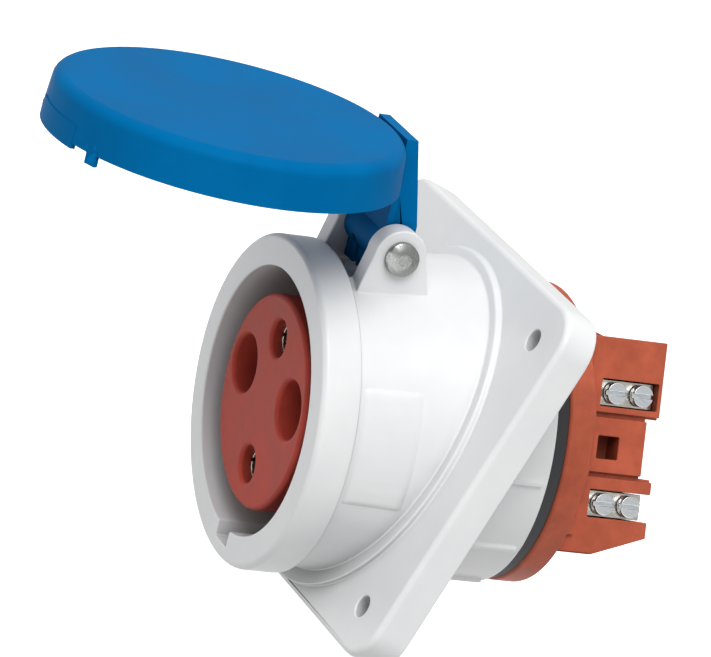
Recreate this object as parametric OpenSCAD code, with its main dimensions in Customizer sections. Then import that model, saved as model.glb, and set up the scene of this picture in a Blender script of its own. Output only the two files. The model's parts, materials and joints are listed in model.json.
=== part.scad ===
// Sloped panel socket with a hinged lid, four contacts and screw terminals at the back.
// Millimetres. X runs across the flange, +Y runs into the panel and +Z is up.
// The origin is the centre of the flange's mounting face.
// Socket frame: x across, y up along the rim, z out of the mouth, with 0 at the rim.

/* [Flange] */
// Width of the mounting flange
flange_w = 84; // [83:1:92]
// Height of the mounting flange
flange_h = 75; // [75:1:82]
// Thickness of the flange
flange_t = 7; // [6:0.5:8]
// Corner radius of the flange
flange_corner_r = 7.5; // [6:0.5:8]
// Rounding of the flange's front edge
flange_edge_r = 1.2; // [0.8:0.1:1.6]
// Thickness of the skin in front of the gasket
flange_skin = 3.5; // [3:0.5:4]
// Border that closes the gasket in
flange_border = 2.5; // [2:0.5:3]
// Distance between the fixing holes across the flange
hole_pitch_w = 64; // [62:1:68]
// Distance between the fixing holes up the flange
hole_pitch_h = 58; // [57:1:62]
// Diameter of the fixing holes
hole_d = 4.2; // [4:0.1:4.8]

/* [Socket body] */
// Downward slope of the socket's axis
tilt = 20; // [18:1:21]
// Height of the socket's axis where it leaves the flange
axis_z = -1.2; // [-2:0.2:0]
// Distance from the flange to the rim along the axis
reach = 26; // [25:0.5:28]
// Inside diameter of the bore that takes the plug's shroud
bore_d = 50.4; // [50:0.2:50.8]
// Outside diameter of the rim
rim_d = 62.6; // [62:0.2:62.6]
// Length of the collar behind the rim
collar_len = 7.7; // [7:0.1:8.5]
// Outside diameter of the tube just behind the collar
neck_d = 59; // [58:0.5:60]
// Outside diameter of the tube where it meets the flange
root_d = 62.8; // [62:0.2:64]
// Outside diameter of the collar that passes through the panel
rear_d = 58; // [57.8:0.1:58.4]
// Depth of the housing behind the rim
housing_depth = 48.4; // [48.3:0.1:48.6]

/* [Lid] */
// Angle that the lid stands open from closed
lid_open = 90; // [0:5:105]
// Outside diameter of the lid's skirt
lid_d = 66.8; // [66.8:0.1:67.2]
// Height of the lid's face above the rim when it is closed
lid_rise = 5.5; // [5:0.1:6]
// Reach of the skirt over the collar when the lid is closed
lid_overlap = 3.3; // [2.5:0.1:4]
// Height of the hinge axis above the socket's axis
hinge_y = 34.5; // [34.3:0.1:35]
// Distance of the hinge axis behind the rim
hinge_back = 16; // [15.5:0.5:17]
// Diameter of the hinge pin
pin_d = 3.94; // [3.9:0.02:3.96]

/* [Contacts] */
// Diameter of the insert that carries the contacts
insert_d = 40.4; // [40:0.2:40.8]
// Depth of the insert's face behind the rim
insert_recess = 1.5; // [1:0.5:3]
// Radius of the circle that the contacts stand on
contact_r = 12.5; // [12:0.1:12.8]
// Diameter of the two wide contact entries
wide_entry_d = 11; // [10.8:0.2:11.4]
// Diameter of the two narrow contact entries
narrow_entry_d = 7; // [6.8:0.2:7.4]
// Pin hole in the wide contacts
wide_pin_d = 6.1; // [6:0.05:6.2]
// Pin hole in the narrow contacts
narrow_pin_d = 5.1; // [5:0.05:5.2]

/* [Hidden] */
$fn = 96;
hull_fn = 32;
eps = 0.01;
far = 200;

housing_colour = "gainsboro";
lid_colour = "steelblue";
insert_colour = "indianred";
rubber_colour = "dimgray";
steel_colour = "silver";
contact_colour = "lightgray";

// flange and tube
hole_spots = [for (sx = [-1, 1], sz = [-1, 1]) [sx * hole_pitch_w / 2, sz * hole_pitch_h / 2]];
cos_tilt = cos(tilt);
front_len = reach + root_d / 2 * tan(tilt) + 2;
rear_start = reach - rear_d / 2 * tan(tilt) - 2;
rim_edge = 0.8;
plinth_h = 1.2;
plinth_w = 1.5;
ledge_depth = 42;
rear_bore_d = 53;
keyway_w = 6;
keyway_top = 28.2;
keyway_len = 30;
snap_depth = 47.2;
snap_h = 0.45;
rear_ribs = 12;
rear_rib = 1.2;
rear_rib_h = 0.7;
boss_d = 8;
edge_lap = 1.5;

// hinge
lug_r = 5.2;
lug_in = 7.8;
lug_out = 12.2;
lug_base_y = 26;
lug_foot = 2.5;
lug_toe = 2;
recess_floor = 27;
recess_from = 8.6;
recess_to = 23.5;
spring_pad = [2.2, 2.5, 3];
pin_hole_d = 4;
knuckle_hole_d = 4.06;
knuckle_r = 3.8;
knuckle_w = 15;
spring_slot = 6.4;
pocket_r = 3.1;
pocket_lip = 1;
foot_slot = 1.7;
pocket_room = 0.4;
head_r = 3.2;
head_t = 1.5;
clip_t = 0.8;

// lid
lid_wall = 1.2;
lid_top_t = 2.5;
lid_edge_r = 2.2;
seal_gap = 0.3;
seal_in_r = 25.7;
seal_out_r = 31.4;
arm_step = 0.4;
arm_top_w = 2.2;
arm_tail = 6.5;
arm_out_y = hinge_y + knuckle_r;
arm_plate = 3;
cheek_in = 3.2;
cheek_out = 5.6;
lip_w = 18;
lip_out = 0.1;
lip_drop = 1;
lip_in = 0.4;
nub_angle = 25.5;
nub_w = 2.6;
nub_drop = 2;

// insert and terminal base
carrier_web = 38;
carrier_end = 51;
spigot_r = 26.2;
core_r = 22;
core_gap = 0.3;
strap_floor = 54;
disc_r = 28.5;
disc_end = 56;
drum_r = 23;
drum_start = 58;
drum_end = 59.1;
plinth_end = 59.5;
plinth_half = 18;
roll = 18.2;
tower_end = 74.8;
tower_half = 17;
tower_high = 19.4;
tower_foot = 21.3;
tower_foot_end = 17.4;
tower_foot_from = 64;
tower_dip = [4.8, 6.4];
tower_dip_end = 72.4;
tower_round = 27.2;
tower_lap = 1;
groove = 0.9;
window = 4.3;
window_low = 3.4;
window_start = 62.7;
window_deep = 5;

// contacts: [angle on the circle, wide entry, centre of the terminal block in the rolled frame]
contact_spots = [
    [90, false, [10.5, 9]],
    [14, true, [10.5, -11.8]],
    [-90, false, [-10.5, -9]],
    [166, true, [-10.5, 11.8]]];
block_size = [9, 4.8, 11.2];
block_start = 62.6;
block_neck_d = 4.4;
chamber_h = 5.2;
chamber_in = 5.4;
chamber_out = 15.8;
chamber_end = 74;
side_start = 62.2;
wire_hole_d = 3.2;
wire_depth = 9;
wire_entry_d = 4.4;
wire_funnel = 1.6;
pin_depth = 34;
sleeve_wall = 0.95;
shoulder_start = 42;
strap_t = 1.8;
strap_w = 5;
screw_head_r = 2.05;
screw_head_t = 1.9;
screw_shank_r = 1.2;
screw_first = 2.9;
screw_pitch = 5.4;
screw_slot = 0.8;
core_screw_r = 1.6;
core_head_r = 3.4;
core_head_t = 2.3;

// A point of the socket frame lies on the tilted axis
module in_socket() {
    translate([0, -flange_t - reach * cos_tilt, axis_z - reach * sin(tilt)])
        rotate([90 + tilt, 0, 0]) children();
}

// The terminal block is rolled about the axis
module rolled() {
    rotate(roll) children();
}

function roll_point(p) = [p[0] * cos(roll) - p[1] * sin(roll), p[0] * sin(roll) + p[1] * cos(roll)];

// Turns a closed lid about the hinge axis to where it stands open
module in_lid() {
    in_socket() translate([0, hinge_y, -hinge_back]) rotate([-lid_open, 0, 0])
        translate([0, -hinge_y, hinge_back]) children();
}

// Extrudes a side profile, drawn as y and z of the socket frame, across x
module across(width, centre = 0) {
    translate([centre, 0, 0]) rotate([90, 0, 90]) linear_extrude(width, center = true) children();
}

// Extrudes a plan of the flange, drawn as x and z, from one y to another
module in_panel(y_from, y_to) {
    translate([0, y_to, 0]) rotate([90, 0, 0]) linear_extrude(y_to - y_from) children();
}

module rounded_plan(w, h, r) {
    square([w - 2 * r, h], center = true);
    square([w, h - 2 * r], center = true);
    for (sx = [-1, 1], sy = [-1, 1]) translate([sx * (w / 2 - r), sy * (h / 2 - r)]) circle(r);
}

module hinge_circle(r) {
    translate([hinge_y, -hinge_back]) circle(r);
}

// ---------- housing ----------

module flange_plate() {
    hull() for (step = [0 : 3]) {
        inset = flange_edge_r * (1 - sin(30 * step));
        rise = flange_edge_r * (1 - cos(30 * step));
        in_panel(rise - flange_t, 0)
            rounded_plan(flange_w - 2 * inset, flange_h - 2 * inset, flange_corner_r - inset, $fn = hull_fn);
    }
}

module gasket_plan(margin) {
    gap = flange_border + margin;
    rounded_plan(flange_w - 2 * gap, flange_h - 2 * gap, flange_corner_r - flange_border);
}

module front_tube() {
    intersection() {
        in_socket() rotate_extrude() polygon([[0, 0], [rim_d / 2 - rim_edge, 0], [rim_d / 2, -rim_edge],
            [rim_d / 2, rim_edge / 2 - collar_len], [rim_d / 2 - rim_edge / 2, -collar_len],
            [neck_d / 2, -collar_len], [root_d / 2, -front_len], [0, -front_len]]);
        translate([-far / 2, -far, -far / 2]) cube([far, far - flange_skin, far]);
    }
}

// A low plinth rings the tube where it rises from the flange
module tube_plinth() {
    intersection() {
        in_socket() translate([0, 0, -front_len - plinth_w]) cylinder(r1 = root_d / 2 + plinth_w,
            r2 = root_d / 2 + plinth_w, h = front_len);
        in_panel(-flange_t - plinth_h, -flange_skin) square(far, center = true);
    }
}

module rear_tube() {
    intersection() {
        in_socket() union() {
            translate([0, 0, -housing_depth]) cylinder(d = rear_d, h = housing_depth - rear_start);
            for (i = [0 : rear_ribs - 1]) rotate(i * 360 / rear_ribs)
                translate([rear_d / 2 - rear_rib, -rear_rib / 2, rear_rib - housing_depth])
                    cube([rear_rib + rear_rib_h, rear_rib, housing_depth - rear_start]);
        }
        translate([-far / 2, -flange_skin, -far / 2]) cube([far, far, far]);
    }
}

module hinge_lug(side) {
    across(lug_out - lug_in, side * (lug_in + lug_out) / 2) {
        hinge_circle(lug_r);
        polygon([[hinge_y, lug_r - hinge_back], [lug_base_y, lug_r - hinge_back + lug_toe],
            [lug_base_y, -hinge_back - lug_r - lug_foot],
            [hinge_y + lug_r * cos(-60), -hinge_back + lug_r * sin(-60)]]);
    }
}

module housing() {
    color(housing_colour) difference() {
        union() {
            difference() {
                flange_plate();
                in_panel(-flange_t + flange_skin, 1) gasket_plan(0);
            }
            for (spot = hole_spots) in_panel(-flange_t + edge_lap, 0) translate(spot) circle(d = boss_d);
            front_tube();
            tube_plinth();
            rear_tube();
            in_socket() for (side = [-1, 1]) hinge_lug(side);
            in_socket() translate([spring_slot / -2, hinge_y - spring_r - spring_wire / 2 - spring_pad[1],
                -recess_to - spring_pad[2]]) cube(spring_pad);
        }
        for (spot = hole_spots) in_panel(-flange_t - 1, 1) translate(spot) circle(d = hole_d);
        in_socket() {
            translate([0, 0, -ledge_depth]) cylinder(d = bore_d, h = ledge_depth + 1);
            translate([0, 0, -housing_depth - 1])
                cylinder(d = rear_bore_d, h = housing_depth + 1 - ledge_depth);
            translate([-keyway_w / 2, -keyway_top, -keyway_len]) cube([keyway_w, keyway_top, keyway_len + 1]);
            rotate_extrude() polygon([[0, -snap_depth - 1], [rear_bore_d / 2, -snap_depth - 1],
                [rear_bore_d / 2 + snap_h, -snap_depth], [rear_bore_d / 2, 1 - snap_depth],
                [0, 1 - snap_depth]]);
            across(far) hinge_circle(pin_hole_d / 2);
            translate([-lug_in, recess_floor, -recess_to]) cube([2 * lug_in, lug_r, recess_to - recess_from]);
        }
    }
}

module panel_gasket() {
    slack = 0.2;
    color(rubber_colour) difference() {
        in_panel(-flange_t + flange_skin, 0) gasket_plan(slack);
        in_socket() translate([0, 0, -far / 2]) cylinder(d = rear_d + 4 * rear_rib_h, h = far);
        for (spot = hole_spots) in_panel(-flange_t, 1) translate(spot) circle(d = boss_d + 2 * slack);
    }
}

// ---------- lid and hinge ----------

module lid_shell() {
    r = lid_d / 2;
    top = lid_rise;
    rotate_extrude() polygon(concat([[0, top]],
        [for (a = [90 : -15 : 0]) [r - 0.5 - lid_edge_r + lid_edge_r * cos(a),
            top - lid_edge_r - 0.3 + (lid_edge_r + (a == 90 ? 0.1 : 0)) * sin(a)]],
        [[r, -lid_overlap], [r - lid_wall, -lid_overlap], [r - lid_wall, top - lid_top_t],
            [0, top - lid_top_t]]));
}

// Ring inside the lid that keeps the seal in place
module seal_rib() {
    rib_t = 1.3;
    rotate_extrude() translate([seal_in_r - 0.2 - rib_t, lid_rise - lid_top_t - 1.6]) square([rib_t, 1.8]);
}

module thumb_lip() {
    r = lid_d / 2;
    intersection() {
        rotate_extrude() polygon([[r - lid_wall + lip_in, 0], [r, 0], [r + lip_out, -lid_overlap],
            [r + lip_out, -lid_overlap - lip_drop], [r - lid_wall + lip_in, -lid_overlap - lip_drop]]);
        translate([-lip_w / 2, -far, -far / 2]) cube([lip_w, far, far]);
    }
}

module catch_nub(angle) {
    r = lid_d / 2;
    rotate(-90 + angle) translate([r - lid_wall + lip_in, -nub_w / 2, -lid_overlap - nub_drop])
        cube([lid_wall - lip_in, nub_w, nub_drop + 1]);
}

module hinge_arm() {
    inner = lid_d / 2 - lid_wall;
    top = lid_rise - arm_step;
    bend = -hinge_back + 5;
    difference() {
        union() {
            across(knuckle_w) {
                hinge_circle(knuckle_r);
                polygon([[inner, top], [inner + arm_top_w, top], [arm_out_y, bend], [arm_out_y, -hinge_back],
                    [arm_out_y - arm_plate, -hinge_back], [arm_out_y - arm_plate, bend],
                    [inner, 1 - lid_overlap]]);
                polygon([[inner, -lid_overlap + 1], [inner + lid_wall, -lid_overlap + 1],
                    [inner + lid_wall, -hinge_back - arm_tail], [inner, -hinge_back - arm_tail]]);
            }
            for (side = [-1, 1]) across(cheek_out - cheek_in, side * (cheek_in + cheek_out) / 2)
                polygon([[inner, top], [inner + arm_top_w - 1, top], [arm_out_y - 1, bend],
                    [arm_out_y - 1, -hinge_back], [inner, -hinge_back]]);
        }
        across(knuckle_w + 1) hinge_circle(knuckle_hole_d / 2);
        across(spring_slot) {
            hinge_circle(pocket_r);
            translate([hinge_y, -hinge_back - pocket_r]) square([2 * knuckle_r, 2 * pocket_r + pocket_room]);
        }
        across(foot_slot, (foot_slot - spring_slot) / 2)
            translate([hinge_y - 2 * knuckle_r, -hinge_back - pocket_lip - 2 * arm_tail])
                square([4 * knuckle_r, 2 * arm_tail]);
    }
}

module lid() {
    color(lid_colour) in_lid() {
        lid_shell();
        seal_rib();
        thumb_lip();
        for (side = [-1, 1]) catch_nub(side * nub_angle);
        hinge_arm();
    }
}

module lid_seal() {
    color(rubber_colour) in_lid() rotate_extrude()
        polygon([[seal_in_r, seal_gap + 0.6], [seal_in_r + 0.6, seal_gap], [seal_out_r - 0.6, seal_gap],
            [seal_out_r, seal_gap + 0.6], [seal_out_r, lid_rise - lid_top_t],
            [seal_in_r, lid_rise - lid_top_t]]);
}

module hinge_pin() {
    color(steel_colour) in_socket() translate([0, hinge_y, -hinge_back]) rotate([0, 90, 0]) {
        translate([0, 0, -lug_out - 2]) cylinder(d = pin_d, h = 2 * lug_out + 2);
        translate([0, 0, lug_out]) rotate_extrude() polygon([[0, 0], [head_r, 0], [head_r, head_t * 0.5],
            [head_r * 0.8, head_t * 0.85], [head_r * 0.4, head_t], [0, head_t]]);
    }
}

module pin_clip() {
    color(steel_colour) in_socket() translate([-lug_out - clip_t, hinge_y, -hinge_back])
        rotate([0, 90, 0]) difference() {
            cylinder(r = head_r, h = clip_t);
            translate([0, 0, -1]) cylinder(d = pin_d, h = clip_t + 2);
            for (i = [0 : 2]) rotate(120 * i) translate([pin_d / 2 - 0.3, -0.4, -1])
                cube([0.9, 0.8, clip_t + 2]);
        }
}

// Wire of a torsion spring: a foot on the tube, the coil, and a leg towards the lid
spring_wire = 0.8;
spring_r = 2.5;
spring_turns = 4.5;
spring_steps = 18;
spring_sides = 8;
spring_pitch = 1.05;
foot_len = 9.5;
leg_len = 2.2;
function coil_point(k) = let (a = 180 - 360 * k / spring_steps, x = (k / spring_steps - spring_turns / 2))
    [x * spring_pitch, spring_r * cos(a), spring_r * sin(a)];
coil_last = floor(spring_turns * spring_steps);
coil_path = concat(
    [coil_point(0) + [0, 0, -foot_len]], [for (k = [0 : coil_last]) coil_point(k)],
    [coil_point(coil_last) + [0, 0, -leg_len]]);
function unit(v) = v / norm(v);
function path_way(i) = unit(coil_path[min(i + 1, len(coil_path) - 1)] - coil_path[max(i - 1, 0)]);
function wire_ring(i) = let (t = path_way(i), n = unit(cross(t, cross([1, 0, 0], t))), b = cross(t, n))
    [for (s = [0 : spring_sides - 1]) coil_path[i]
        + spring_wire / 2 * (n * cos(360 * s / spring_sides) + b * sin(360 * s / spring_sides))];

module hinge_spring() {
    rings = len(coil_path);
    wire_points = [for (i = [0 : rings - 1]) each wire_ring(i)];
    walls = [for (i = [0 : rings - 2], s = [0 : spring_sides - 1]) let (n = (s + 1) % spring_sides)
        [i * spring_sides + s, (i + 1) * spring_sides + s, (i + 1) * spring_sides + n, i * spring_sides + n]];
    ends = [[for (s = [0 : spring_sides - 1]) s],
        [for (s = [spring_sides - 1 : -1 : 0]) (rings - 1) * spring_sides + s]];
    color(steel_colour) in_socket() translate([0, hinge_y, -hinge_back])
        polyhedron(wire_points, concat(walls, ends), convexity = 8);
}

// ---------- insert and terminal base ----------

function sleeve_r(wide) = (wide ? wide_pin_d : narrow_pin_d) / 2 + sleeve_wall;
function entry_r(wide) = (wide ? wide_entry_d : narrow_entry_d) / 2;
function shaft_r(wide) = wide ? entry_r(wide) : sleeve_r(wide) + 0.9;
function sleeve_front(wide) = wide ? 9 : 3.6;

module at_contact(spot) {
    rotate(spot[0]) translate([contact_r, 0, 0]) children();
}

module contact_carrier() {
    r = insert_d / 2;
    color(insert_colour) in_socket() difference() {
        rotate_extrude() polygon([[0, -insert_recess], [r - 0.6, -insert_recess], [r, -insert_recess - 0.6],
            [r, -carrier_web], [bore_d / 2 - core_gap, -carrier_web], [bore_d / 2 - core_gap, -ledge_depth],
            [spigot_r, -ledge_depth], [spigot_r, -ledge_depth - 4], [core_r, -ledge_depth - 4],
            [core_r, -carrier_end], [0, -carrier_end]]);
        for (spot = contact_spots) at_contact(spot) {
            wide = spot[1];
            translate([0, 0, -insert_recess - 3]) cylinder(r = entry_r(wide), h = 4);
            translate([0, 0, -insert_recess - 0.5]) cylinder(r1 = entry_r(wide), r2 = entry_r(wide) + 0.6,
                h = 0.6);
            translate([0, 0, -carrier_end - 1])
                cylinder(r = shaft_r(wide), h = carrier_end + 1 - insert_recess - 2.5);
        }
        translate([0, 0, -carrier_end - 1]) cylinder(r = 1.6, h = 11);
    }
}

module base_core() {
    rotate_extrude() polygon([[core_r + core_gap, -ledge_depth - 4.2], [spigot_r, -ledge_depth - 4.2],
        [spigot_r, 0.8 - snap_depth], [spigot_r + snap_h, -snap_depth], [spigot_r, -0.8 - snap_depth],
        [spigot_r, -carrier_end], [disc_r - 0.5, -carrier_end], [disc_r, -carrier_end - 0.5],
        [disc_r, -disc_end], [drum_r, -drum_start], [drum_r, -drum_end], [0, -drum_end],
        [0, -strap_floor], [core_r + core_gap, -strap_floor]]);
}

// Terminal tower of one side; the other side is the same, turned half a turn
module tower() {
    intersection() {
        across(tower_half + tower_lap, (tower_half - tower_lap) / 2)
            polygon([[tower_high, 1 - disc_end], [tower_high, -tower_end], [tower_dip[0], -tower_end],
                [tower_dip[0], -tower_dip_end], [-tower_dip[1], -tower_dip_end], [-tower_dip[1], -tower_end],
                [-tower_foot_end, -tower_end], [-tower_foot, -tower_foot_from], [-tower_foot, 1 - disc_end]]);
        translate([0, 0, -far / 2]) cylinder(r = tower_round, h = far);
    }
}

// Room for each terminal, open at the side; the wide contacts' rooms are open at the end too
module terminal_chambers() {
    for (spot = contact_spots) {
        way = sign(spot[2][0]);
        end = spot[1] ? tower_end + 1 : chamber_end;
        translate([spot[2][0], spot[2][1], 0]) {
            translate([way * (chamber_in + chamber_out) / 2 - spot[2][0], 0, -(strap_floor - 1 + end) / 2])
                cube([chamber_out - chamber_in, chamber_h, end - strap_floor + 1], center = true);
            translate([way * tower_half - spot[2][0], 0, -(side_start + end) / 2])
                cube([2 * (tower_half - chamber_out) + 2, chamber_h, end - side_start], center = true);
            if (!spot[1]) translate([0, 0, -far]) cylinder(d = wire_entry_d, h = far - chamber_end + 1);
            if (!spot[1]) translate([0, 0, -tower_end]) cylinder(d1 = wire_entry_d + wire_funnel,
                d2 = wire_entry_d, h = wire_funnel / 2);
        }
    }
}

module tower_cuts() {
    translate([tower_half - window_deep, -window_low, -window_start - window])
        cube([window_deep + 3, window, window]);
    for (y = [tower_dip[0], -tower_dip[1]]) translate([tower_half - groove, y - groove / 2, -far])
        cube([3, groove, far - plinth_end - tower_lap]);
}

module terminal_base() {
    color(insert_colour) in_socket() difference() {
        union() {
            base_core();
            rolled() translate([-plinth_half, -plinth_half, -plinth_end])
                cube([2 * plinth_half, 2 * plinth_half, plinth_end - disc_end + 1]);
            rolled() for (turn = [0, 180]) rotate(turn) tower();
        }
        rolled() terminal_chambers();
        rolled() for (turn = [0, 180]) rotate(turn) tower_cuts();
        translate([0, 0, -far]) cylinder(r = core_screw_r + 0.5, h = far - strap_floor + 1);
        translate([0, 0, -far]) cylinder(r = core_head_r + 0.4, h = far - tower_dip_end + core_head_t + 0.7);
    }
}

module base_seal() {
    inner = spigot_r + 0.15;
    outer = rear_d / 2 - 0.9;
    color(rubber_colour) in_socket() rotate_extrude() polygon([[inner, -housing_depth],
        [outer, -housing_depth], [outer, 0.1 - carrier_end], [inner, 0.1 - carrier_end]]);
}

module base_screw() {
    seat = 0.7 + core_head_t - tower_dip_end;
    color(steel_colour) in_socket() difference() {
        union() {
            translate([0, 0, seat - core_head_t]) cylinder(r = core_head_r, h = core_head_t);
            translate([0, 0, seat - eps]) cylinder(r = core_screw_r, h = -seat - carrier_end + 5);
        }
        translate([-far / 2, -screw_slot / 2, -far]) cube([far, screw_slot, far + seat - core_head_t + 1.2]);
    }
}

// Strip between two points of a plane, with square ends half a width past them
module strap_bar(from, to, width) {
    way = to - from;
    translate(from) rotate(atan2(way[1], way[0])) translate([-width / 2, -width / 2])
        square([norm(way) + width, width]);
}

// Turned sleeve with a strap to its terminal block
module contact(i) {
    spot = contact_spots[i];
    wide = spot[1];
    way = sign(spot[2][0]);
    centre = contact_r * [cos(spot[0]), sin(spot[0])];
    color(contact_colour) in_socket() difference() {
        union() {
            at_contact(spot) {
                translate([0, 0, -shoulder_start - 1])
                    cylinder(r = sleeve_r(wide), h = shoulder_start + 1 - sleeve_front(wide));
                translate([0, 0, -carrier_end - strap_t / 2])
                    cylinder(r = shaft_r(wide) - 0.1, h = carrier_end + strap_t / 2 - shoulder_start);
            }
            translate([0, 0, -carrier_end - strap_t]) linear_extrude(strap_t)
                strap_bar(centre, roll_point(spot[2]), strap_w);
            rolled() translate([spot[2][0], spot[2][1], 0]) {
                translate([-block_size[0] / 2, -block_size[1] / 2, -block_start - block_size[2]])
                    cube(block_size);
                translate([0, 0, -block_start - 1])
                    cylinder(d = block_neck_d, h = block_start + 1 - carrier_end - strap_t / 2);
            }
        }
        at_contact(spot) {
            translate([0, 0, -pin_depth]) cylinder(d = wide ? wide_pin_d : narrow_pin_d, h = pin_depth);
            translate([-0.3, -far / 2, -pin_depth + 6]) cube([0.6, far, pin_depth]);
        }
        rolled() translate([spot[2][0], spot[2][1], 0]) {
            translate([0, 0, -block_start - block_size[2] - 1]) cylinder(d = wire_hole_d, h = wire_depth + 1);
            for (k = [0, 1]) translate([0, 0, -block_start - screw_first - k * screw_pitch])
                rotate([0, 90 * way, 0]) cylinder(r = screw_shank_r, h = far);
        }
    }
}

// Split steel ring that squeezes the sleeve
module spring_ring(i) {
    spot = contact_spots[i];
    wide = spot[1];
    ring_t = 0.6;
    color(steel_colour) in_socket() at_contact(spot)
        translate([0, 0, -sleeve_front(wide) - 7]) difference() {
            cylinder(r = sleeve_r(wide) + ring_t, h = 5);
            translate([0, 0, -1]) cylinder(r = sleeve_r(wide), h = 7);
            translate([0, -0.5, -1]) cube([far, 1, 7]);
        }
}

// Each terminal has two clamping screws, k = 0 nearer the panel
module terminal_screw(i, k) {
    spot = contact_spots[i];
    way = sign(spot[2][0]);
    seat = block_size[0] / 2 + 0.3;
    color(steel_colour) in_socket() rolled()
        translate([spot[2][0], spot[2][1], -block_start - screw_first - k * screw_pitch])
            rotate([0, 90 * way, 0]) difference() {
                union() {
                    translate([0, 0, seat]) cylinder(r = screw_head_r, h = screw_head_t);
                    translate([0, 0, wire_hole_d / 2 + 0.1]) cylinder(r = screw_shank_r, h = seat - wire_hole_d / 2);
                }
                translate([-far / 2, -screw_slot / 2, seat + 1]) cube([far, screw_slot, 2]);
            }
}

housing();
lid();
lid_seal();
hinge_pin();
pin_clip();
hinge_spring();
panel_gasket();
contact_carrier();
terminal_base();
base_seal();
base_screw();
contact(0);  // contact_top
contact(1);  // contact_right
contact(2);  // contact_bottom
contact(3);  // contact_left
spring_ring(0);  // ring_top
spring_ring(1);  // ring_right
spring_ring(2);  // ring_bottom
spring_ring(3);  // ring_left
terminal_screw(0, 0);  // terminal_screw_top
terminal_screw(0, 1);  // end_screw_top
terminal_screw(1, 0);  // terminal_screw_right
terminal_screw(1, 1);  // end_screw_right
terminal_screw(2, 0);  // terminal_screw_bottom
terminal_screw(2, 1);  // end_screw_bottom
terminal_screw(3, 0);  // terminal_screw_left
terminal_screw(3, 1);  // end_screw_left
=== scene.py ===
import json
import math

import bmesh
import bpy
from mathutils import Matrix, Vector
from mathutils.bvhtree import BVHTree


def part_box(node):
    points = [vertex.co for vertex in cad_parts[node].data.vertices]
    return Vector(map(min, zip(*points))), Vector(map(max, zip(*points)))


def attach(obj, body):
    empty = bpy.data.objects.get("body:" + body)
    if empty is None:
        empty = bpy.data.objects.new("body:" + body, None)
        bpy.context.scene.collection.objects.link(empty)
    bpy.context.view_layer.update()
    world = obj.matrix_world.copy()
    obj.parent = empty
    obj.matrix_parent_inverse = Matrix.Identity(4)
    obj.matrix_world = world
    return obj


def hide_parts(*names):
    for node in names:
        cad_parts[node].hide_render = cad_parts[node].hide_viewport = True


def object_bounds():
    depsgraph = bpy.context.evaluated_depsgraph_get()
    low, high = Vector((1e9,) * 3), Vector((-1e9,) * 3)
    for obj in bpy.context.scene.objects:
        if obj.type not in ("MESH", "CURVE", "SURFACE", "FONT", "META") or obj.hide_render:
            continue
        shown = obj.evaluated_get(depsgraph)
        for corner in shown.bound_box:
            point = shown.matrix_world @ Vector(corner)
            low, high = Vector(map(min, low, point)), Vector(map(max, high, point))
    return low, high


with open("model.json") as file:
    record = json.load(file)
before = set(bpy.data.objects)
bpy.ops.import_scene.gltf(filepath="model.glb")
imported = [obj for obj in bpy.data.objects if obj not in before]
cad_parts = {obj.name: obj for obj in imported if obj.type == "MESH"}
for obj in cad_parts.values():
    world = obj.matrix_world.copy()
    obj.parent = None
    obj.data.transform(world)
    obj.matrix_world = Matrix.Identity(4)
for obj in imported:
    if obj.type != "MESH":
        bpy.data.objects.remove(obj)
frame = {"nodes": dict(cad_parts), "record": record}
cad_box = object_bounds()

MM = 0.001


# ---------------------------------------------------------------- camera, floor and light

# The camera looks at the middle of the flange's front face, from the right and a little above,
# and is rolled so that the socket leans.
VIEW_FROM = Vector((0.871, -0.474, 0.129))
VIEW_RIGHT = Vector((0.342, 0.774, 0.532))
FLANGE_FRONT = Vector((0.0, -7 * MM, 0.0))
CAMERA_AWAY = 1.1364
CAMERA_ASIDE = (-0.00568, 0.01506)
CAMERA_LENS = 308.9
SENSOR = 36.0
CAMERA_CLIP = (0.05, 50.0)

# The strength of the white dome straight below and straight above the socket.
DOME_BELOW = 0.42
DOME_ABOVE = 0.80

KEY_TOWARDS = (0.85, -0.68, 1.05)
KEY_SIZE = 1.0
KEY_WATTS = 16

FLOOR_SIZE = 8.0
FLOOR_DROP_MM = 9
FLOOR_GLOW = 0.6


def place_camera():
    """The camera, with its axes made exactly square to each other."""
    back = VIEW_FROM.normalized()
    right = (VIEW_RIGHT - back * VIEW_RIGHT.dot(back)).normalized()
    up = back.cross(right)
    data = bpy.data.cameras.new("camera")
    data.lens, data.sensor_width = CAMERA_LENS, SENSOR
    data.clip_start, data.clip_end = CAMERA_CLIP
    camera = bpy.data.objects.new("camera", data)
    bpy.context.scene.collection.objects.link(camera)
    spot = FLANGE_FRONT + back * CAMERA_AWAY + right * CAMERA_ASIDE[0] + up * CAMERA_ASIDE[1]
    turn = Matrix((right, up, back)).transposed().to_4x4()
    camera.matrix_world = Matrix.Translation(spot) @ turn
    bpy.context.scene.camera = camera


def studio_dome():
    """White light from all round, weaker from below, as from a lit tent over a table."""
    world = bpy.data.worlds.new("studio")
    bpy.context.scene.world = world
    world.use_nodes = True
    tree = world.node_tree
    towards = add_node(tree, "ShaderNodeTexCoord").outputs["Generated"]
    height = add_node(tree, "ShaderNodeSeparateXYZ", links={"Vector": towards}).outputs["Z"]
    strength = map_range(tree, height, (-1.0, 1.0), (DOME_BELOW, DOME_ABOVE))
    dome = tree.nodes["Background"]
    dome.inputs["Color"].default_value = linear("#ffffff")
    tree.links.new(strength, dome.inputs["Strength"])


def soft_light(name, towards, size, watts):
    """A square studio lamp that hangs in the given direction from the object and faces it."""
    data = bpy.data.lights.new(name, "AREA")
    data.shape, data.size, data.energy = "SQUARE", size, watts
    lamp = bpy.data.objects.new(name, data)
    lamp.location = Vector(towards)
    lamp.rotation_euler = Vector(towards).to_track_quat("Z", "Y").to_euler()
    bpy.context.scene.collection.objects.link(lamp)


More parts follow.
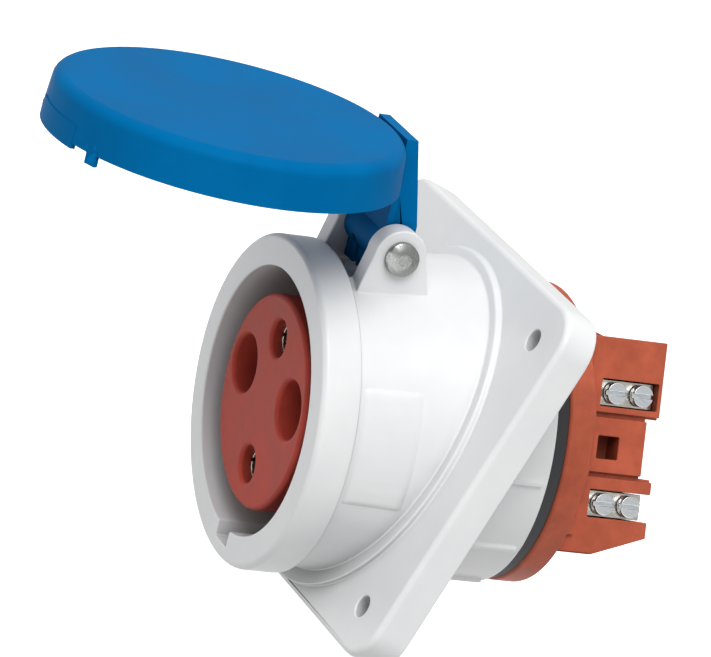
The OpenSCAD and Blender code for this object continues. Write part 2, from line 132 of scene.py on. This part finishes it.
def studio_floor():
    """The board under the socket. It throws no light back on what stands over it."""
    bpy.ops.mesh.primitive_plane_add(size=FLOOR_SIZE, location=(0, 0, cad_box[0].z - FLOOR_DROP_MM * MM))
    floor = bpy.context.object
    floor.name = "studio_floor"
    floor.data.materials.append(glowing_board())
    floor.visible_diffuse = False


# ---------------------------------------------------------------- shader helpers

def linear(text):
    """The linear colour of an sRGB hex value."""
    parts = [int(text[i:i + 2], 16) / 255 for i in (1, 3, 5)]
    parts = [c / 12.92 if c <= 0.04045 else ((c + 0.055) / 1.055) ** 2.4 for c in parts]
    return (*parts, 1.0)


def add_node(tree, kind, settings=None, links=None):
    """Adds one node: settings are its properties or plain input values, links its joined inputs."""
    node = tree.nodes.new(kind)
    for name, value in (settings or {}).items():
        if name in node.bl_rna.properties:
            setattr(node, name, value)
        else:
            node.inputs[name].default_value = value
    for name, output in (links or {}).items():
        tree.links.new(output, node.inputs[name])
    return node


def new_material(name):
    """An empty node material, its shader and its place coordinates in metres."""
    made = bpy.data.materials.new(name)
    made.use_nodes = True
    tree = made.node_tree
    tree.nodes.clear()
    shader = add_node(tree, "ShaderNodeBsdfPrincipled")
    add_node(tree, "ShaderNodeOutputMaterial", links={"Surface": shader.outputs[0]})
    place = add_node(tree, "ShaderNodeTexCoord").outputs["Object"]
    return made, tree, shader, place


def map_range(tree, value, source, target):
    """A value, carried from one range to another."""
    node = add_node(tree, "ShaderNodeMapRange",
                    {"From Min": source[0], "From Max": source[1],
                     "To Min": target[0], "To Max": target[1]}, {"Value": value})
    return node.outputs["Result"]


def noise(tree, place, size_mm, detail, roughness=0.5):
    """A cloudy pattern with features of a real size."""
    node = add_node(tree, "ShaderNodeTexNoise",
                    {"Scale": 1 / (size_mm * MM), "Detail": detail, "Roughness": roughness},
                    {"Vector": place})
    return node.outputs["Fac"]


def tone_between(tree, pattern, shade, main, stops=(0.0, 1.0)):
    """A colour that drifts from shade to main as the pattern rises between the stops."""
    node = add_node(tree, "ShaderNodeValToRGB", links={"Fac": pattern})
    for element, stop, colour in zip(node.color_ramp.elements, stops, (shade, main)):
        element.position, element.color = stop, linear(colour)
    return node.outputs["Color"]


def drifting_gloss(tree, shader, pattern, roughness):
    """Lets the roughness run between two values with the pattern."""
    tree.links.new(map_range(tree, pattern, (0.3, 0.7), roughness), shader.inputs["Roughness"])


def raise_surface(tree, shader, pattern, strength, depth_mm):
    """Gives the surface the relief of the pattern."""
    bump = add_node(tree, "ShaderNodeBump", {"Strength": strength, "Distance": depth_mm * MM},
                    {"Height": pattern})
    tree.links.new(bump.outputs["Normal"], shader.inputs["Normal"])


# Painted shade in recesses: how far it reaches, the openness over which it fades in, and how dark it
# makes the colour.
PAINTED_SHADE_REACH_MM = 9.0
PAINTED_SHADE_OPEN = (0.15, 0.75)
PAINTED_SHADE_DARKEST = 0.45


def paint_shade_in_recesses(tree, colour):
    """Paints shade into a colour in bores, slots and corners, which the even light would leave too pale.
    """
    room = add_node(tree, "ShaderNodeAmbientOcclusion", {"Distance": PAINTED_SHADE_REACH_MM * MM, "samples": 8})
    painted_shade_share = map_range(tree, room.outputs["AO"], PAINTED_SHADE_OPEN, (PAINTED_SHADE_DARKEST, 1.0))
    painted_shade_colour = add_node(tree, "ShaderNodeVectorMath", {"operation": "SCALE"},
                     {"Vector": colour, "Scale": painted_shade_share})
    return painted_shade_colour.outputs["Vector"]


# ---------------------------------------------------------------- materials

def moulded(name, main, shade, roughness, ior, grain_mm, grain_depth_mm, cloud_mm=14.0):
    """Injection moulded plastic: a fine spark-eroded grain, slow drifts of tone and gloss, and painted
    shade in its recesses.
    """
    made, tree, shader, place = new_material(name)
    cloud = noise(tree, place, cloud_mm, 3.0, 0.55)
    tone = tone_between(tree, cloud, shade, main, (0.32, 0.68))
    # The tone gets painted shade in bores, slots and corners.
    tree.links.new(paint_shade_in_recesses(tree, tone), shader.inputs["Base Color"])
    drifting_gloss(tree, shader, cloud, (roughness - 0.04, roughness + 0.06))
    raise_surface(tree, shader, noise(tree, place, grain_mm, 2.0, 0.6), 0.5, grain_depth_mm)
    shader.inputs["IOR"].default_value = ior
    return made


def plated(name, main, shade, roughness, line_mm, line_depth_mm, axis):
    """Bare or plated metal with the fine lines that turning, drawing or cropping leaves."""
    made, tree, shader, place = new_material(name)
    stretch = [1.0, 1.0, 1.0]
    stretch["XYZ".index(axis)] = 0.06
    along = add_node(tree, "ShaderNodeMapping", {"Scale": stretch}, {"Vector": place})
    lines = noise(tree, along.outputs["Vector"], line_mm, 3.0, 0.6)
    tree.links.new(tone_between(tree, lines, shade, main, (0.3, 0.7)), shader.inputs["Base Color"])
    drifting_gloss(tree, shader, lines, (roughness + 0.1, roughness - 0.05))
    raise_surface(tree, shader, lines, 0.4, line_depth_mm)
    shader.inputs["Metallic"].default_value = 1.0
    return made


def glowing_board():
    """Matt white board that glows, as on a light table: no gloss and hardly any shadow."""
    made, tree, shader, place = new_material("matt_white_board")
    tone = tone_between(tree, noise(tree, place, 400.0, 2.0), "#f7f7f7", "#fbfbfb")
    tree.links.new(tone, shader.inputs["Base Color"])
    shader.inputs["Roughness"].default_value = 0.9
    shader.inputs["Emission Color"].default_value = linear("#ffffff")
    shader.inputs["Emission Strength"].default_value = FLOOR_GLOW
    return made


# The blue and the two reds have a lower reflection index than the real plastics, about 1.5.
# The dome is white on all sides, and its reflection would turn their colour milky.
FINISHES = {
    # Off-white polyamide, injection moulded: a soft, milky gloss.
    "housing_plastic": moulded("moulded_polyamide_off_white", "#e4e5e5", "#dedfe0",
                               0.38, 1.53, 0.5, 0.004),
    # The blue that marks this voltage, moulded through: deep colour, nearly matt.
    "lid_plastic": moulded("moulded_polyamide_blue", "#0069a4", "#00629b",
                           0.45, 1.06, 0.5, 0.005),
    # Glass-filled polyamide: duller and slightly streaked, because the fibres come to the skin.
    "insert_plastic": moulded("moulded_glass_filled_polyamide_red", "#b8483a", "#a63e31",
                              0.5, 1.2, 0.35, 0.008, 6.0),
    # The same plastic in a browner red, with slightly finer drifts: the moulding behind the panel.
    "insert_plastic_rear": moulded("moulded_glass_filled_polyamide_brick", "#bb5c42", "#a34f38",
                                   0.5, 1.25, 0.35, 0.008, 5.0),
    # Moulded EPDM rubber: almost no gloss, with a faint bloom.
    "rubber": moulded("moulded_rubber_dark_grey", "#26262a", "#1c1c20",
                      0.7, 1.52, 0.3, 0.01, 5.0),
    # Drawn stainless wire and turned pins: grey, with lines along the draw.
    "stainless_steel": plated("drawn_stainless_steel", "#a3a4a0", "#7f8482",
                              0.28, 0.25, 0.004, "X"),
    # Clear zinc plate: a cool, slightly cloudy grey.
    "zinc_plated_steel": plated("clear_zinc_plate", "#e2e5e7", "#bcc2c6",
                                0.3, 0.3, 0.004, "Y"),
    # Nickel over brass: warm white and bright.
    "nickel_plated_brass": plated("nickel_plate_on_brass", "#dcd8cf", "#bdb8ac",
                                  0.22, 0.3, 0.003, "Y"),
}

# The slot of a node, or of its family when its name ends in a side.
SLOT_OF = {
    "housing": "housing_plastic", "lid": "lid_plastic", "contact_carrier": "insert_plastic",
    "terminal_base": "insert_plastic", "lid_seal": "rubber", "panel_gasket": "rubber",
    "base_seal": "rubber", "hinge_pin": "stainless_steel", "pin_clip": "stainless_steel",
    "hinge_spring": "stainless_steel", "ring": "stainless_steel", "base_screw": "zinc_plated_steel",
    "terminal_screw": "zinc_plated_steel", "end_screw": "zinc_plated_steel",
    "contact": "nickel_plated_brass",
}

# Where the finish has another name than the slot.
FINISH_OF = {"terminal_base": "insert_plastic_rear"}


def slot_of(node):
    """The slot of a CAD node, by its own name or its family's."""
    return SLOT_OF.get(node) or SLOT_OF[node.rsplit("_", 1)[0]]


def finish_of(node):
    """The material of a CAD node."""
    return FINISHES[FINISH_OF.get(node) or slot_of(node)]


def body_of(node):
    """The body that a CAD node moves with."""
    return next(name for name, body in frame["record"]["behaviour"]["bodies"].items() if node in body)


# ---------------------------------------------------------------- broken edges

# Faces that turn less than this against each other are joined into one flat face.
FLAT = math.radians(0.6)
WELD_MM = 0.002
EDGE_FROM_DEGREES = 35

SIDES = ("top", "right", "bottom", "left")

# How far each kind of piece has its edges broken, in mm: soft on mouldings, crisp on metal.
EDGES = {"housing": 0.35, "lid": 0.35, "contact_carrier": 0.3, "terminal_base": 0.22,
         "lid_seal": 0.3, "panel_gasket": 0.3, "base_screw": 0.12}
EDGES.update({f"contact_{side}": 0.1 for side in SIDES})
EDGES.update({f"{kind}_{side}": 0.12 for kind in ("terminal_screw", "end_screw") for side in SIDES})
EDGES["hinge_pin"] = 0.1

# Joined faces round this node's windows would tear as its edges are broken.
KEEPS_TRIANGLES = "terminal_base"
# This node has edges so close together that the width has to be held back.
HELD_BACK = "lid"


def rounded_copy(node, width_mm):
    """A copy of a CAD node whose sharp edges are broken, which stands for it."""
    mesh = frame["nodes"][node].data.copy()
    work = bmesh.new()
    work.from_mesh(mesh)
    bmesh.ops.remove_doubles(work, verts=work.verts, dist=WELD_MM * MM)
    if node != KEEPS_TRIANGLES:
        bmesh.ops.dissolve_limit(work, angle_limit=FLAT, verts=work.verts, edges=work.edges)
    work.to_mesh(mesh)
    work.free()
    copy = bpy.data.objects.new(node + "_finished", mesh)
    bpy.context.scene.collection.objects.link(copy)
    mesh.materials.clear()
    mesh.materials.append(finish_of(node))
    mesh.shade_smooth()
    edge = copy.modifiers.new("edge", "BEVEL")
    edge.width, edge.segments = width_mm * MM, 2
    edge.limit_method, edge.angle_limit = "ANGLE", math.radians(EDGE_FROM_DEGREES)
    edge.miter_outer = "MITER_ARC"
    edge.use_clamp_overlap = node == HELD_BACK
    smooth = copy.modifiers.new("smooth", "WEIGHTED_NORMAL")
    smooth.keep_sharp = True
    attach(copy, body_of(node))
    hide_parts(node)


# ---------------------------------------------------------------- added pieces

# The socket's own frame: origin at the middle of the rim, RISE up across it, OUT along the bore.
shroud = next(mount for mount in frame["record"]["mounts"] if mount["name"] == "plug_shroud")
RIM_CENTRE = Vector(shroud["pos_m"])
OUT = Vector(shroud["axis"]).normalized()
SIDE = Vector((1, 0, 0))
RISE = OUT.cross(SIDE).normalized()


def new_piece(name, work, slot, body):
    """Turns a built mesh into a smooth object that moves with a body."""
    mesh = bpy.data.meshes.new(name)
    bmesh.ops.recalc_face_normals(work, faces=work.faces)
    work.to_mesh(mesh)
    work.free()
    mesh.shade_smooth()
    mesh.set_sharp_from_angle(angle=math.radians(50))
    mesh.materials.append(FINISHES[slot])
    piece = bpy.data.objects.new(name, mesh)
    bpy.context.scene.collection.objects.link(piece)
    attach(piece, body)


# How deep the field's edge and its back lie under the tube's surface, and where its rays start.
FIELD_EDGE_MM = -0.05
FIELD_BACK_MM = -0.25
FIELD_RAY_FROM_MM = 60
FIELD_SHOULDER = 0.7


def marking_field(name, depths_mm, angles, height_mm):
    """A blank, slightly raised field on the side of the tube, where ratings would be marked."""
    mesh = frame["nodes"]["housing"].data
    tree = BVHTree.FromPolygons([v.co for v in mesh.vertices], [f.vertices for f in mesh.polygons])
    along, around = 16, 40
    lifts = (FIELD_EDGE_MM, FIELD_SHOULDER * height_mm, height_mm)
    work = bmesh.new()
    rows = []
    for layer in (0, 1):
        for i in range(along + 1):
            row = []
            for k in range(around + 1):
                depth = depths_mm[0] + (depths_mm[1] - depths_mm[0]) * i / along
                angle = math.radians(angles[0] + (angles[1] - angles[0]) * k / around)
                ray = SIDE * math.cos(angle) + RISE * math.sin(angle)
                foot = RIM_CENTRE - OUT * depth * MM
                hit = tree.ray_cast(foot + ray * (FIELD_RAY_FROM_MM * MM), -ray)[0]
                edge = min(i, along - i, k, around - k)
                lift = FIELD_BACK_MM if layer else lifts[min(edge, 2)]
                row.append(work.verts.new(hit + ray * lift * MM))
            rows.append(row)
    for layer in (0, 1):
        for i in range(along):
            upper, lower = rows[layer * (along + 1) + i], rows[layer * (along + 1) + i + 1]
            for k in range(around):
                work.faces.new((upper[k], upper[k + 1], lower[k + 1], lower[k]))
    rim = [(0, k) for k in range(around)] + [(i, around) for i in range(along)]
    rim += [(along, k) for k in range(around, 0, -1)] + [(i, 0) for i in range(along, 0, -1)]
    for (i, k), (m, n) in zip(rim, rim[1:] + rim[:1]):
        work.faces.new((rows[i][k], rows[m][n], rows[along + 1 + m][n], rows[along + 1 + i][k]))
    new_piece(name, work, "housing_plastic", "socket")


# How much narrower the crown's top is than its foot, the small flat that the die leaves.
CROWN_DRAWN_IN = 0.62
CROWN_FOOT_MM = 0.1


def domed_head(name, node, height_mm):
    """The crowned face of the hinge pin's head, on top of the CAD head."""
    low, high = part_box(node)
    middle = (low + high) / 2
    radius = (high.z - low.z) / 2 - CROWN_FOOT_MM * MM
    steps, rings = 40, 8
    turns = [2 * math.pi * k / steps for k in range(steps)]
    work = bmesh.new()
    loops = []
    for j in range(rings + 1):
        part = j / rings
        reach = radius * (1 - CROWN_DRAWN_IN * part)
        x = high.x + height_mm * MM * math.sin(part * math.pi / 2)
        loops.append([work.verts.new((x, middle.y + reach * math.cos(t), middle.z + reach * math.sin(t)))
                      for t in turns])
    foot_x = high.x - CROWN_FOOT_MM * MM
    loops.insert(0, [work.verts.new((foot_x, v.co.y, v.co.z)) for v in loops[0]])
    for lower, upper in zip(loops, loops[1:]):
        for k in range(steps):
            work.faces.new((lower[k], lower[k - 1], upper[k - 1], upper[k]))
    work.faces.new(loops[-1])
    work.faces.new(list(reversed(loops[0])))
    new_piece(name, work, "stainless_steel", "socket")


# ---------------------------------------------------------------- the scene

place_camera()
studio_floor()
bpy.context.scene.view_settings.view_transform = "Standard"
studio_dome()
soft_light("key", KEY_TOWARDS, KEY_SIZE, KEY_WATTS)

for name, piece in frame["nodes"].items():
    piece.data.materials.clear()
    piece.data.materials.append(finish_of(name))

for name, width in EDGES.items():
    rounded_copy(name, width)

# Depths are in mm behind the rim, angles in degrees above the socket's right.
marking_field("tube_marking_field", depths_mm=(8.8, 20.6), angles=(-16, 28), height_mm=0.35)
domed_head("hinge_pin_crown", "hinge_pin", height_mm=0.7)
